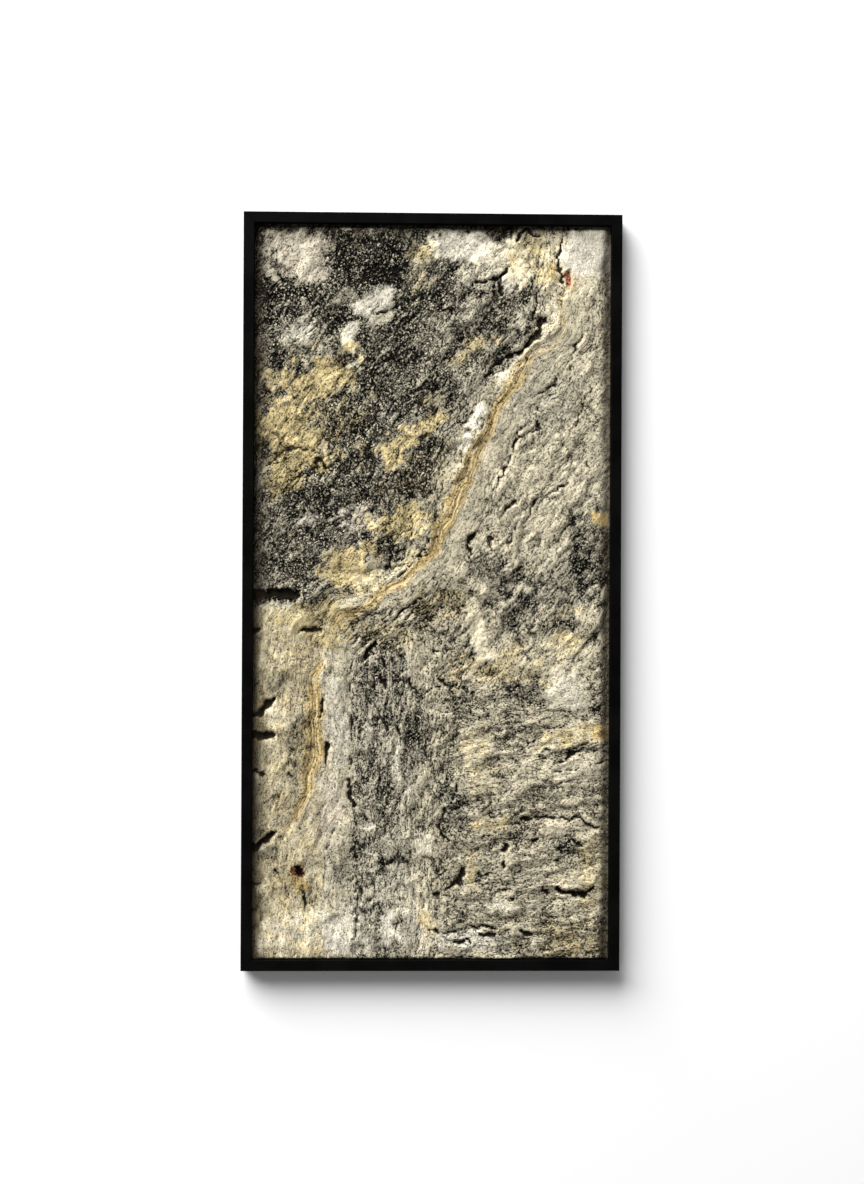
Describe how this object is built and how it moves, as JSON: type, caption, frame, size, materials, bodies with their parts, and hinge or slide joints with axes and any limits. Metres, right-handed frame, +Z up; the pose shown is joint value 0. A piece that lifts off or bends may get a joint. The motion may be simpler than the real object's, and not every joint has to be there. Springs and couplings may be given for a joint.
{
  "type": "decorative wall panel",
  "caption": "Tall framed wall panel: a cast rock-face relief with a golden vein, recessed in a slim black frame, hung on a hook rail.",
  "frame": {"origin": "middle of the hanging rail's bearing face, the underside of its hook, where the panel hangs", "axes": "+Z up the panel's height, +Y towards the wall, the relief faces -Y"},
  "size_m": [0.6, 0.04, 1.2],
  "materials": {
    "black_frame": "satin black lacquer",
    "cast_rock": "rough, charcoal, grey, cream and ochre with a golden vein",
    "backing_board": "bare hardboard",
    "rail_aluminium": "mill"
  },
  "bodies": {
    "root": {"frame_rail_top": "black_frame", "frame_rail_bottom": "black_frame", "frame_rail_left": "black_frame", "frame_rail_right": "black_frame", "rock_relief_slab": "cast_rock", "backing_board": "backing_board", "hanging_rail": "rail_aluminium"}
  },
  "joints": []
}
